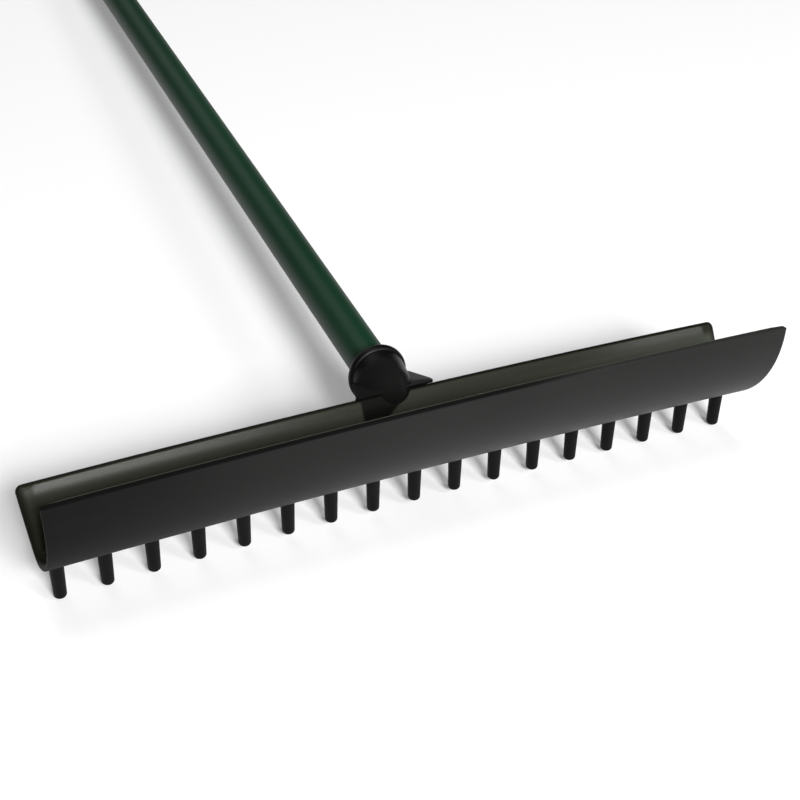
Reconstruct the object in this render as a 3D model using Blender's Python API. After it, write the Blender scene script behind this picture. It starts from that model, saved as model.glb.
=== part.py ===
"""Bunker rake: a crowned trough with a row of peg teeth, a screwed-on socket and a tube handle.

Sizes are in metres. In the head frame X runs along the trough, Y back along the handle and Z up,
with the origin at the tip of the middle tooth. The empty rest_frame turns the head frame so that
the end teeth and the far end of the handle stand on the ground, with the origin below the middle
of the whole rake.
"""

import math

import bmesh
import bpy
import numpy as np
from mathutils import Matrix, Vector

# Fits
SEAT_GAP = 0.0003            # between two pieces that touch
FREE_GAP = 0.0008            # beyond a piece's end in a blind hole

# Teeth
TOOTH_COUNT = 17
TOOTH_PITCH = 0.030
TOOTH_REACH = 0.0271         # from the tip to the underside of the trough's floor
TOOTH_SETBACK = 0.0024       # the row lies this far in front of the floor's lowest line
TOOTH_ROOT_RADIUS = 0.0047
TOOTH_TIP_RADIUS = 0.0042
TOOTH_TIP_DEPTH = 0.0030      # height of the domed tip
TOOTH_HEAD_RADIUS = 0.0058
TOOTH_HEAD_HEIGHT = 0.0025
TOOTH_HEAD_CHAMFER = 0.0006
TOOTH_SEAT_DEPTH = 0.0007    # how far the flat seats are sunk into the lowest line of the floor

# Trough
TROUGH_WALL = 0.0050
TROUGH_END_MARGIN = 0.0111   # from the last tooth to the end of the trough
CROWN_RADIUS = 8.7           # the trough arches up in the middle of its length
FLOOR_RADIUS = 0.0128
FLOOR_FRONT_ANGLE = math.radians(26.2)
BLADE_RADIUS = 0.0817        # the long curve of the front wall
BLADE_SWEEP = math.radians(67.1)
BACK_SLOPE = math.radians(53.3)
BACK_FLAT = 0.0400           # length of the straight back wall
END_SLANT_BACK = 0.053       # the ends widen towards the back and towards the top
END_SLANT_UP = 0.037
BACK_CORNER_RADIUS = 0.0050
INNER_ROUND = 0.0024          # along the inner edges of the back wall and of both ends
RIM_ROUND = 0.0006            # along all the other edges
END_BEVEL_LENGTH = 0.0080     # the wall thins towards both ends of the trough
END_BEVEL_DEPTH = 0.0008

# Socket
SOCKET_TILT = math.radians(5.33)
SOCKET_AXIS_HEIGHT = 0.05705  # above the tips, measured over the row of teeth
SOCKET_MOUTH = 0.0655         # places along the socket's axis, from the row of teeth
SOCKET_SHOULDER = 0.0465
SOCKET_NOSE_DEPTH = 0.0190
SOCKET_MOUTH_RADIUS = 0.0193
SOCKET_SHOULDER_RADIUS = 0.0176
SOCKET_BORE_STOP = 0.0443
BEAD_WIDTH = 0.0048
BEAD_HEIGHT = 0.0019
MOUTH_LEAN = math.radians(11.3)  # the mouth and its bead lean back at the top
SADDLE_THICKNESS = 0.0040
SADDLE_TOP_WIDTH = 0.0520
SADDLE_FOOT_WIDTH = 0.0480
SADDLE_LENGTH = 0.0360
SADDLE_RISE = 0.0010          # above the edge of the wall, under the wings
SADDLE_SHOULDER = 0.0080      # length of the saddle's upright sides
SADDLE_FOOT_RADIUS = 0.0070
WING_THICKNESS = 0.0024
WING_SLOPE = math.radians(14)  # the wings fall from the edge of the wall to the socket's sides
WING_FRONT_WIDTH = 0.0552
WING_OVERHANG = 0.0012        # past the inner edge of the wall
WING_SHOULDER = 0.0024        # length of the wings' upright sides
WING_WAIST_WIDTH = 0.0416
WING_WAIST = 0.0248           # places along the wings, from the inner edge of the wall
WING_END = 0.0290
WING_END_WIDTH = 0.0330
KEEL_THICKNESS = 0.0050
KEEL_REACH = 0.0440

# Screws
SOCKET_SCREW_SPACING = 0.0340
SOCKET_SCREW_DROP = 0.0275    # below the top edge of the back wall, along the wall
SCREW_RADIUS = 0.0020
SCREW_HEAD_RADIUS = 0.0040
SCREW_HEAD_HEIGHT = 0.0024
SCREW_LENGTH = 0.0140
SCREW_POINT = 0.0020
SCREW_BOSS_RADIUS = 0.0050
SCREW_BOSS_END = 0.0016       # material beyond the end of the blind hole
HANDLE_SCREW_PLACE = 0.0505   # along the socket's axis
HANDLE_SCREW_SEAT = 0.0203    # from the socket's axis
HANDLE_SCREW_LENGTH = 0.0110

# Handle
HANDLE_RADIUS = 0.0140
HANDLE_WALL = 0.0015
HANDLE_LENGTH = 1.500
CAP_FLANGE = 0.0040
CAP_SPIGOT = 0.0200
CAP_ROUND = 0.0015

# Facets
BLADE_STEPS = 14
FLOOR_STEPS = 8
TROUGH_STEPS = 14
TOOTH_FACETS = 16
SOCKET_FACETS = 48
HANDLE_FACETS = 36
SCREW_FACETS = 14
TIP_STEPS = 4
NOSE_STEPS = 8
BEAD_STEPS = 6

SMOOTH_ANGLE = math.radians(32)
RIM_ANGLE = math.radians(40)


# Worked out from the sizes above
LAST_TOOTH = (TOOTH_COUNT - 1) / 2 * TOOTH_PITCH
HALF_LENGTH = LAST_TOOTH + TROUGH_END_MARGIN
FLOOR_CENTRE = Vector((TOOTH_SETBACK, TOOTH_REACH + FLOOR_RADIUS))
BLADE_JOINT = math.radians(270) - FLOOR_FRONT_ANGLE
TOOTH_SEAT = TOOTH_REACH + TROUGH_WALL - TOOTH_SEAT_DEPTH
SCREW_HOLE_RADIUS = SCREW_RADIUS + SEAT_GAP
SOCKET_BORE_RADIUS = HANDLE_RADIUS + SEAT_GAP
HANDLE_START = SOCKET_BORE_STOP + SEAT_GAP
HANDLE_END = HANDLE_START + HANDLE_LENGTH
CAP_END = HANDLE_END + SEAT_GAP + CAP_FLANGE


def remove_all_objects():
    """Empty the scene."""
    for item in list(bpy.data.objects):
        bpy.data.objects.remove(item, do_unlink=True)


def crown_drop(x):
    """How far the trough and its teeth lie below the middle of the head, at a place along it."""
    return x * x / (2 * CROWN_RADIUS)


def direction(angle):
    """A unit vector in the section's plane: Y and Z."""
    return Vector((math.cos(angle), math.sin(angle)))


def arc(centre, radius, start, end, steps):
    """Points along an arc, both ends included."""
    angles = [start + (end - start) * step / steps for step in range(steps + 1)]
    return [centre + radius * direction(angle) for angle in angles]


def material(name, colour, roughness, metallic=0.0):
    """A plain Principled material."""
    made = bpy.data.materials.new(name)
    made.use_nodes = True
    shader = made.node_tree.nodes["Principled BSDF"]
    shader.inputs["Base Color"].default_value = (*colour, 1.0)
    shader.inputs["Roughness"].default_value = roughness
    shader.inputs["Metallic"].default_value = metallic
    made.diffuse_color = (*colour, 1.0)
    return made


def finish_mesh(name, shape):
    """A smooth shaded mesh from a closed bmesh, with its faces pointing out."""
    bmesh.ops.recalc_face_normals(shape, faces=shape.faces)
    mesh = bpy.data.meshes.new(name)
    shape.to_mesh(mesh)
    shape.free()
    mesh.shade_smooth()
    mesh.set_sharp_from_angle(angle=SMOOTH_ANGLE)
    return mesh


def turned(name, profile, facets, ring=False):
    """A turned solid about Z from (radius, height) pairs; a ring's profile closes on itself."""
    shape = bmesh.new()
    corners = [shape.verts.new((radius, 0.0, height)) for radius, height in profile]
    pairs = list(zip(corners, corners[1:]))
    if ring:
        pairs.append((corners[-1], corners[0]))
    edges = [shape.edges.new(pair) for pair in pairs]
    bmesh.ops.spin(
        shape, geom=corners + edges, cent=(0, 0, 0), axis=(0, 0, 1),
        angle=math.tau, steps=facets, use_merge=True,
    )
    bmesh.ops.remove_doubles(shape, verts=shape.verts, dist=1e-6)
    return finish_mesh(name, shape)


def extruded(name, outline, thickness):
    """A plate from an outline in XY, half of its thickness to each side of that plane."""
    shape = bmesh.new()
    lower = [shape.verts.new((x, y, -thickness / 2)) for x, y in outline]
    upper = [shape.verts.new((x, y, thickness / 2)) for x, y in outline]
    rings = [shape.edges.new(pair) for ring in (lower, upper) for pair in zip(ring, ring[1:] + ring[:1])]
    bmesh.ops.bridge_loops(shape, edges=rings)
    shape.faces.new(lower)
    shape.faces.new(upper)
    return finish_mesh(name, shape)


def place(name, mesh, finish, frame, parent):
    """An object with its own material slot, placed by a matrix under its parent."""
    item = bpy.data.objects.new(name, mesh)
    bpy.context.scene.collection.objects.link(item)
    item.parent = parent
    item.location = frame.to_translation()
    item.rotation_euler = frame.to_euler()
    if finish is not None and not mesh.materials:
        mesh.materials.append(finish)
    return item


def helper(name, mesh, frame, parent):
    """A shape that only cuts or joins another one."""
    item = place(name, mesh, None, frame, parent)
    item.hide_render = True
    item.display_type = "WIRE"
    return item


def combine(target, tool, operation):
    """Join a helper to the target, or cut it out."""
    change = target.modifiers.new(tool.name, "BOOLEAN")
    change.operation = operation
    change.solver = "EXACT"
    change.object = tool


def head_point(y, z):
    """A place in the middle plane of the head frame."""
    return Vector((0.0, y, z))


def socket_frame():
    """Z runs up the handle, Y points down and the origin lies over the row of teeth."""
    turn = Matrix.Rotation(SOCKET_TILT - math.radians(90), 4, "X")
    return Matrix.Translation(head_point(0.0, SOCKET_AXIS_HEIGHT)) @ turn


def wall_frame():
    """Y runs up the back wall and Z into the trough, from the wall's upper outer edge."""
    edge = section(0.0)[-1]
    return Matrix.Translation(head_point(*edge)) @ Matrix.Rotation(BACK_SLOPE, 4, "X")


def section(offset):
    """The trough's section from the front lip to the back one, at an offset inside its skin."""
    joint = direction(BLADE_JOINT)
    blade_centre = FLOOR_CENTRE - (BLADE_RADIUS - FLOOR_RADIUS) * joint
    floor_end = math.radians(270) + BACK_SLOPE
    points = arc(blade_centre, BLADE_RADIUS - offset, BLADE_JOINT - BLADE_SWEEP, BLADE_JOINT, BLADE_STEPS)
    points += arc(FLOOR_CENTRE, FLOOR_RADIUS - offset, BLADE_JOINT, floor_end, FLOOR_STEPS)[1:]
    points.append(points[-1] + BACK_FLAT * direction(BACK_SLOPE))
    return points


def trough_point(share, y, z):
    """A section's point at a share of the half length, with the slanted ends and the crown."""
    half = HALF_LENGTH + END_SLANT_BACK * y + END_SLANT_UP * (z - SOCKET_AXIS_HEIGHT)
    return Vector((share * half, y, z - crown_drop(share * HALF_LENGTH)))


def trough_mesh():
    """The section swept along the head, with rounded upper corners on the back wall.

    Each vertex knows its side: 0 is the outer skin, 1 the inner one and 2 the front lip's inner
    edge. The sharp edges get their weights for the rim's rounding from that.
    """
    loop = section(0.0) + section(TROUGH_WALL)[::-1]
    end_loop = section(0.0) + section(TROUGH_WALL - END_BEVEL_DEPTH)[::-1]
    count = len(loop)
    half = count // 2
    full = 1 - END_BEVEL_LENGTH / HALF_LENGTH
    shares = [full * (2 * step / TROUGH_STEPS - 1) for step in range(TROUGH_STEPS + 1)]
    stations = [(-1.0, end_loop)] + [(share, loop) for share in shares] + [(1.0, end_loop)]
    shape = bmesh.new()
    side = shape.verts.layers.int.new("side")
    rows = [[shape.verts.new(trough_point(share, *point)) for point in path] for share, path in stations]
    for row in rows:
        for point in row[half:]:
            point[side] = 1
        row[-1][side] = 2
    for row, following in zip(rows, rows[1:]):
        for i in range(count):
            j = (i + 1) % count
            shape.faces.new((row[i], row[j], following[j], following[i]))
    for row in (rows[0], rows[-1]):
        for i in range(half - 1):
            shape.faces.new((row[i], row[i + 1], row[count - 2 - i], row[count - 1 - i]))
    corners = [shape.edges.get((row[half - 1], row[half])) for row in (rows[0], rows[-1])]
    bmesh.ops.bevel(
        shape, geom=corners, offset=BACK_CORNER_RADIUS, segments=5,
        profile=0.5, affect="EDGES", clamp_overlap=True,
    )
    weights = shape.edges.layers.float.new("bevel_weight_edge")
    for edge in shape.edges:
        if edge.calc_face_angle() > RIM_ANGLE:
            sides = [point[side] for point in edge.verts]
            inner = min(sides) > 0 and sum(sides) < 4
            edge[weights] = 1.0 if inner else RIM_ROUND / INNER_ROUND
    return finish_mesh("trough", shape)


def tooth_profile():
    """Half outline of a tooth, from its rounded tip up to the flat head inside the trough."""
    turns = [math.radians(90) * step / TIP_STEPS for step in range(TIP_STEPS + 1)]
    tip = [(TOOTH_TIP_RADIUS * math.sin(turn), TOOTH_TIP_DEPTH * (1 - math.cos(turn))) for turn in turns]
    seat = TOOTH_SEAT + SEAT_GAP
    top = seat + TOOTH_HEAD_HEIGHT
    return tip + [
        (TOOTH_ROOT_RADIUS, TOOTH_REACH),
        (TOOTH_ROOT_RADIUS, seat),
        (TOOTH_HEAD_RADIUS, seat),
        (TOOTH_HEAD_RADIUS, top - TOOTH_HEAD_CHAMFER),
        (TOOTH_HEAD_RADIUS - TOOTH_HEAD_CHAMFER, top),
        (0.0, top),
    ]


def tooth_seat_profile():
    """Half outline of a tooth's hole with its flat seat for the head."""
    hole = TOOTH_ROOT_RADIUS + SEAT_GAP
    seat = TOOTH_HEAD_RADIUS + SEAT_GAP
    top = TOOTH_SEAT + TROUGH_WALL + TOOTH_HEAD_HEIGHT + TOOTH_HEAD_RADIUS
    bottom = TOOTH_REACH - TROUGH_WALL
    return [(0.0, bottom), (hole, bottom), (hole, TOOTH_SEAT), (seat, TOOTH_SEAT), (seat, top), (0.0, top)]


def tooth_frames():
    """The place of each tooth along the crowned trough."""
    places = [i * TOOTH_PITCH - LAST_TOOTH for i in range(TOOTH_COUNT)]
    return [Matrix.Translation((x, 0.0, -crown_drop(x))) for x in places]


def nose_profile(gap):
    """Half outline of the socket's domed nose, grown by a gap."""
    depth = SOCKET_NOSE_DEPTH + gap
    radius = SOCKET_SHOULDER_RADIUS + gap
    turns = [math.radians(90) * step / NOSE_STEPS for step in range(NOSE_STEPS + 1)]
    return [(radius * math.sin(turn), SOCKET_SHOULDER - depth * math.cos(turn)) for turn in turns]


def socket_mesh():
    """The socket's domed nose, tapered body and the leaning bead round its mouth."""
    bead_start = SOCKET_MOUTH - BEAD_WIDTH
    turns = [math.radians(180) * step / BEAD_STEPS for step in range(BEAD_STEPS + 1)]
    bead = [
        (
            SOCKET_MOUTH_RADIUS + BEAD_HEIGHT * math.sin(turn),
            bead_start + BEAD_WIDTH * (1 - math.cos(turn)) / 2,
        )
        for turn in turns
    ]
    mesh = turned("socket", nose_profile(0.0) + bead + [(0.0, SOCKET_MOUTH)], SOCKET_FACETS)
    for point in mesh.vertices:
        share = max(0.0, (point.co.z - SOCKET_SHOULDER) / (SOCKET_MOUTH - SOCKET_SHOULDER))
        point.co.z -= min(1.0, share) * math.tan(MOUTH_LEAN) * point.co.y
    return mesh


def cylinder_profile(radius, start, end):
    """Half outline of a plain cylinder."""
    return [(0.0, start), (radius, start), (radius, end), (0.0, end)]


def mirrored(right):
    """An outline from the points of its right half, which run from bottom to top."""
    return [tuple(point) for point in right] + [(-x, y) for x, y in reversed(right)]


def saddle_outline():
    """The saddle plate, seen square to the back wall, with rounded corners at its foot."""
    side = SADDLE_FOOT_WIDTH / 2 - SADDLE_FOOT_RADIUS
    centre = Vector((side, SADDLE_FOOT_RADIUS - SADDLE_LENGTH))
    foot = arc(centre, SADDLE_FOOT_RADIUS, math.radians(-90), 0.0, 6)
    top = [Vector((SADDLE_TOP_WIDTH / 2, -SADDLE_SHOULDER)), Vector((SADDLE_TOP_WIDTH / 2, SADDLE_RISE))]
    return mirrored(foot + top)


def wing_outline():
    """Both wings as one plate across the socket, from the wall's edge back to the body's sides."""
    return mirrored([
        (WING_FRONT_WIDTH / 2, -WING_OVERHANG),
        (WING_FRONT_WIDTH / 2, WING_SHOULDER),
        (WING_WAIST_WIDTH / 2, WING_WAIST),
        (WING_END_WIDTH / 2, WING_END),
    ])


def wing_frame():
    """The middle plane of the wings: Y runs back along them from above the wall's inner edge."""
    edge = wall_frame() @ Vector((0, 0, TROUGH_WALL))
    lift = SEAT_GAP + WING_THICKNESS / 2
    return Matrix.Translation(edge) @ Matrix.Rotation(-WING_SLOPE, 4, "X") @ Matrix.Translation((0, 0, lift))


def wedge_outline():
    """The wedge between the edge of the wall and the wings, in the head frame's Y and Z."""
    to_wall = wall_frame()
    to_wing = wing_frame()
    seat = [
        to_wall @ Vector((0, SEAT_GAP, TROUGH_WALL - RIM_ROUND)),
        to_wall @ Vector((0, SEAT_GAP, -SEAT_GAP - SADDLE_THICKNESS / 2)),
    ]
    reach = [(to_wing.inverted() @ point).y for point in seat]
    roof = [to_wing @ Vector((0, place, 0)) for place in reversed(reach)]
    return [(point.y, point.z) for point in seat + roof]


def keel_outline():
    """The web under the socket, in the head frame's Y and Z: from the saddle's foot to the body."""
    to_socket = socket_frame()
    to_wall = wall_frame()
    middle = -SEAT_GAP - SADDLE_THICKNESS / 2
    inner = (SOCKET_BORE_RADIUS + SOCKET_SHOULDER_RADIUS) / 2
    points = [
        to_wall @ Vector((0, -SADDLE_LENGTH + SADDLE_THICKNESS, middle)),
        to_socket @ Vector((0, inner, KEEL_REACH)),
        to_socket @ Vector((0, 0, KEEL_REACH)),
        to_wall @ Vector((0, -SADDLE_SHOULDER, middle)),
    ]
    return [(point.y, point.z) for point in points]


def screw_profile(length):
    """Half outline of a pan head screw: its point is at minus its length, its head above zero."""
    round_top = arc(Vector((0, 0)), 1.0, 0.0, math.radians(90), 3)
    head = [(SCREW_HEAD_RADIUS * x, SCREW_HEAD_HEIGHT * (0.4 + 0.6 * y)) for x, y in round_top[:-1]]
    return [
        (0.0, -length),
        (SCREW_RADIUS, -length + SCREW_POINT),
        (SCREW_RADIUS, 0.0),
        (SCREW_HEAD_RADIUS, 0.0),
        *head,
        (0.0, SCREW_HEAD_HEIGHT),
    ]


def socket_screw_frames():
    """Each socket screw goes through the back wall from the inside, seated on the wall."""
    seat = TROUGH_WALL + SEAT_GAP
    sides = (-SOCKET_SCREW_SPACING / 2, SOCKET_SCREW_SPACING / 2)
    return [wall_frame() @ Matrix.Translation((side, -SOCKET_SCREW_DROP, seat)) for side in sides]


def handle_screw_frame():
    """Z points down from the socket's axis, through the seat of the handle's screw."""
    down = Matrix.Rotation(math.radians(-90), 4, "X")
    seat = HANDLE_SCREW_SEAT + SEAT_GAP
    return socket_frame() @ Matrix.Translation((0, seat, HANDLE_SCREW_PLACE)) @ down


def build_trough(finish, parent):
    """The trough with its tooth holes, the notch for the socket's nose and two screw holes."""
    home = Matrix.Identity(4)
    trough = place("trough", trough_mesh(), finish, home, parent)
    rim = trough.modifiers.new("rim", "BEVEL")
    rim.width = INNER_ROUND
    rim.segments = 3
    rim.limit_method = "WEIGHT"
    rim.use_clamp_overlap = True
    seat = turned("tooth_seat", tooth_seat_profile(), TOOTH_FACETS)
    for number, frame in enumerate(tooth_frames(), start=1):
        combine(trough, helper(f"tooth_seat_{number:02d}", seat, frame, parent), "DIFFERENCE")
    notch = turned("notch", nose_profile(SEAT_GAP) + [(0.0, SOCKET_SHOULDER)], SOCKET_FACETS)
    combine(trough, helper("notch", notch, socket_frame(), parent), "DIFFERENCE")
    hole_profile = cylinder_profile(SCREW_HOLE_RADIUS, -SCREW_LENGTH, SCREW_LENGTH)
    hole = turned("screw_hole", hole_profile, SCREW_FACETS)
    for number, frame in enumerate(socket_screw_frames(), start=1):
        combine(trough, helper(f"wall_hole_{number}", hole, frame, parent), "DIFFERENCE")
    return trough


def build_teeth(finish, parent):
    """The row of peg teeth."""
    mesh = turned("tooth", tooth_profile(), TOOTH_FACETS)
    return [
        place(f"tooth_{number:02d}", mesh, finish, frame, parent)
        for number, frame in enumerate(tooth_frames(), start=1)
    ]


def build_socket(finish, parent):
    """The socket moulding: body, saddle plate, wings, keel and screw bosses, with its bores."""
    axis = socket_frame()
    wall = wall_frame()
    across = Matrix(((0, 0, 1, 0), (1, 0, 0, 0), (0, 1, 0, 0), (0, 0, 0, 1)))
    socket = place("socket", socket_mesh(), finish, axis, parent)
    saddle_depth = Matrix.Translation((0, 0, -SEAT_GAP - SADDLE_THICKNESS / 2))
    saddle = extruded("saddle", saddle_outline(), SADDLE_THICKNESS)
    combine(socket, helper("saddle", saddle, wall @ saddle_depth, parent), "UNION")
    wings = extruded("wings", wing_outline(), WING_THICKNESS)
    combine(socket, helper("wings", wings, wing_frame(), parent), "UNION")
    wedge = extruded("wedge", wedge_outline(), SADDLE_TOP_WIDTH)
    combine(socket, helper("wedge", wedge, across, parent), "UNION")
    keel = extruded("keel", keel_outline(), KEEL_THICKNESS)
    combine(socket, helper("keel", keel, across, parent), "UNION")

    hole_end = -SCREW_LENGTH - FREE_GAP
    boss_start = -TROUGH_WALL - 2 * SEAT_GAP - SADDLE_THICKNESS / 2
    boss_profile = cylinder_profile(SCREW_BOSS_RADIUS, hole_end - SCREW_BOSS_END, boss_start)
    boss = turned("boss", boss_profile, SCREW_FACETS * 2)
    hole = turned("pilot", cylinder_profile(SCREW_HOLE_RADIUS, hole_end, 0.0), SCREW_FACETS)
    for number, frame in enumerate(socket_screw_frames(), start=1):
        combine(socket, helper(f"boss_{number}", boss, frame, parent), "UNION")
        combine(socket, helper(f"pilot_{number}", hole, frame, parent), "DIFFERENCE")

    seat_top = HANDLE_SCREW_SEAT - SOCKET_BORE_RADIUS
    pad_profile = cylinder_profile(SCREW_BOSS_RADIUS, -seat_top / 2 - SEAT_GAP, -SEAT_GAP)
    pad = turned("pad", pad_profile, SCREW_FACETS * 2)
    combine(socket, helper("pad", pad, handle_screw_frame(), parent), "UNION")
    bore_profile = cylinder_profile(SOCKET_BORE_RADIUS, SOCKET_BORE_STOP, SOCKET_MOUTH * 2)
    bore = turned("bore", bore_profile, SOCKET_FACETS)
    half_facet = Matrix.Rotation(math.pi / SOCKET_FACETS, 4, "Z")
    combine(socket, helper("bore", bore, axis @ half_facet, parent), "DIFFERENCE")
    through_profile = cylinder_profile(SCREW_HOLE_RADIUS, -HANDLE_SCREW_LENGTH, FREE_GAP)
    through = turned("through", through_profile, SCREW_FACETS)
    combine(socket, helper("through", through, handle_screw_frame(), parent), "DIFFERENCE")
    return socket


def build_handle(finish, parent):
    """The handle's tube, with the hole for its screw."""
    inner = HANDLE_RADIUS - HANDLE_WALL
    profile = [
        (inner, HANDLE_START),
        (HANDLE_RADIUS, HANDLE_START),
        (HANDLE_RADIUS, SOCKET_MOUTH),
        (HANDLE_RADIUS, HANDLE_END),
        (inner, HANDLE_END),
        (inner, SOCKET_MOUTH),
    ]
    mesh = turned("handle_tube", profile, HANDLE_FACETS, ring=True)
    handle = place("handle_tube", mesh, finish, socket_frame(), parent)
    hole_profile = cylinder_profile(SCREW_HOLE_RADIUS, -HANDLE_SCREW_LENGTH, FREE_GAP)
    hole = turned("handle_hole", hole_profile, SCREW_FACETS)
    combine(handle, helper("handle_hole", hole, handle_screw_frame(), parent), "DIFFERENCE")
    return handle


def build_cap(finish, parent):
    """The plug in the far end of the tube, with a flat end."""
    spigot = HANDLE_RADIUS - HANDLE_WALL - SEAT_GAP
    start = HANDLE_END + SEAT_GAP
    corner = Vector((HANDLE_RADIUS - CAP_ROUND, CAP_END - CAP_ROUND))
    edge = arc(corner, CAP_ROUND, 0.0, math.radians(90), 3)
    profile = [
        (0.0, HANDLE_END - CAP_SPIGOT),
        (spigot, HANDLE_END - CAP_SPIGOT),
        (spigot, start),
        (HANDLE_RADIUS, start),
        *[tuple(point) for point in edge],
        (0.0, CAP_END),
    ]
    mesh = turned("handle_end_cap", profile, HANDLE_FACETS)
    return place("handle_end_cap", mesh, finish, socket_frame(), parent)


def build_screws(finish, parent):
    """Two screws hold the socket to the back wall, and one holds the handle in the socket."""
    mesh = turned("socket_screw", screw_profile(SCREW_LENGTH), SCREW_FACETS)
    names = ("socket_screw_left", "socket_screw_right")
    screws = [place(name, mesh, finish, frame, parent) for name, frame in zip(names, socket_screw_frames())]
    mesh = turned("handle_screw", screw_profile(HANDLE_SCREW_LENGTH), SCREW_FACETS)
    screws.append(place("handle_screw", mesh, finish, handle_screw_frame(), parent))
    return screws


def rest_tilt():
    """The slope of the ground, in the head frame, under the end teeth and the end of the cap."""
    tip = head_point(0.0, TOOTH_TIP_DEPTH - crown_drop(LAST_TOOTH))
    edge = socket_frame() @ Vector((0.0, HANDLE_RADIUS, CAP_END - CAP_ROUND))
    reach = edge - tip
    slope = 0.0
    for _ in range(6):
        drop = math.hypot(TOOTH_TIP_RADIUS * math.sin(slope), TOOTH_TIP_DEPTH * math.cos(slope))
        slope = math.atan2(reach.z, reach.y) + math.asin(drop / reach.length)
    return slope


def world_box(items):
    """The lowest and highest corners of all the pieces, as they stand."""
    bpy.context.view_layer.update()
    graph = bpy.context.evaluated_depsgraph_get()
    lows, highs = [], []
    for item in items:
        final = item.evaluated_get(graph)
        mesh = final.to_mesh()
        points = np.empty(len(mesh.vertices) * 3)
        mesh.vertices.foreach_get("co", points)
        turn = np.array(final.matrix_world)
        spread = points.reshape(-1, 3) @ turn[:3, :3].T + turn[:3, 3]
        lows.append(spread.min(axis=0))
        highs.append(spread.max(axis=0))
        final.to_mesh_clear()
    return np.min(lows, axis=0), np.max(highs, axis=0)


def stand_on_ground(frame, items):
    """Turn the rake to its resting slope and put the origin under the middle of it."""
    frame.rotation_euler = (-rest_tilt(), 0.0, 0.0)
    low, high = world_box(items)
    frame.location = (-(low[0] + high[0]) / 2, -(low[1] + high[1]) / 2, -low[2])
    bpy.context.view_layer.update()


def main():
    """Build the rake."""
    remove_all_objects()
    trough_grey = material("trough_grey", (0.030, 0.030, 0.028), 0.45)
    tooth_black = material("tooth_black", (0.012, 0.012, 0.012), 0.50)
    socket_black = material("socket_black", (0.010, 0.010, 0.010), 0.40)
    handle_green = material("handle_green", (0.012, 0.050, 0.024), 0.35, 0.2)
    cap_black = material("cap_black", (0.012, 0.012, 0.012), 0.55)
    screw_steel = material("screw_steel", (0.45, 0.45, 0.44), 0.35, 1.0)

    rest_frame = bpy.data.objects.new("rest_frame", None)
    bpy.context.scene.collection.objects.link(rest_frame)
    pieces = [build_trough(trough_grey, rest_frame)]
    pieces += build_teeth(tooth_black, rest_frame)
    pieces.append(build_socket(socket_black, rest_frame))
    pieces.append(build_handle(handle_green, rest_frame))
    pieces.append(build_cap(cap_black, rest_frame))
    pieces += build_screws(screw_steel, rest_frame)
    stand_on_ground(rest_frame, pieces)


main()
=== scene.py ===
"""Bunker rake on a plain white studio floor.

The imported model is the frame. Each piece that shows is a fine surface worked out with numpy in the
head frame, where X runs along the trough, Y back along the handle and Z up from the tip of the
middle tooth, and is then turned to the slope at which the rake rests on the ground. Sizes are in
metres.
"""

import math

import bmesh
import bpy
import numpy as np
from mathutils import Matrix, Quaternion, Vector


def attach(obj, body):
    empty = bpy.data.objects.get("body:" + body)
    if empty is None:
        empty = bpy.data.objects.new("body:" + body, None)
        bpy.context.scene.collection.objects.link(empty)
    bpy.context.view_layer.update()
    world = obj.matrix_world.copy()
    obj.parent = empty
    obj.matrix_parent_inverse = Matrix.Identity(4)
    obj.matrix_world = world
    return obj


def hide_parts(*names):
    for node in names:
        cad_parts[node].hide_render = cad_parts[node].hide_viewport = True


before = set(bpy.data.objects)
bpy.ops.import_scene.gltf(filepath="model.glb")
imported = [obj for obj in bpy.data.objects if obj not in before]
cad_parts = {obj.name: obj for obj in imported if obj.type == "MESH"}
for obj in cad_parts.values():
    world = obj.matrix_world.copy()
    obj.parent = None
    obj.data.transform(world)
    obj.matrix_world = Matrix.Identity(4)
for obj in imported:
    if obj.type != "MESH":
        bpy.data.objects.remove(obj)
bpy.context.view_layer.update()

# Resting place of the head frame
REST_TILT = math.radians(7.0318876)
REST_PLACE = (0.0, -0.7592317, 0.0033295)

# The sizes from here to the handle are those of the solids
GAP = 0.0003                  # between two pieces that touch

# Teeth
TOOTH_COUNT = 17
TOOTH_PITCH = 0.030
TOOTH_REACH = 0.0271          # from the tip to the underside of the trough's floor
TOOTH_SETBACK = 0.0024        # the row lies this far in front of the floor's lowest line
TOOTH_ROOT_RADIUS = 0.0047
TOOTH_TIP_RADIUS = 0.0042
TOOTH_TIP_DEPTH = 0.0030      # height of the domed tip
TOOTH_HEAD_RADIUS = 0.0058
TOOTH_HEAD_HEIGHT = 0.0025
TOOTH_HEAD_CHAMFER = 0.0006
TOOTH_SEAT_DEPTH = 0.0007     # how far the flat seats are sunk into the floor

# Trough
WALL = 0.0050
END_MARGIN = 0.0111           # from the last tooth to the end of the trough
CROWN_RADIUS = 8.7            # the trough arches up in the middle of its length
FLOOR_RADIUS = 0.0128
FLOOR_FRONT = math.radians(26.2)
BLADE_RADIUS = 0.0817         # the long curve of the front wall
BLADE_SWEEP = math.radians(67.1)
BACK_SLOPE = math.radians(53.3)
BACK_FLAT = 0.0400            # length of the straight back wall
SLANT_BACK = 0.053            # the ends widen towards the back and towards the top
SLANT_UP = 0.037
CORNER = 0.0050               # radius of the back wall's upper corners
INNER_ROUND = 0.0024          # along the inner edges of the back wall and of both ends
RIM = 0.0006                  # along all the other edges
BEVEL_LENGTH = 0.0080         # the wall thins towards both ends of the trough
BEVEL_DEPTH = 0.0008

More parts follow.
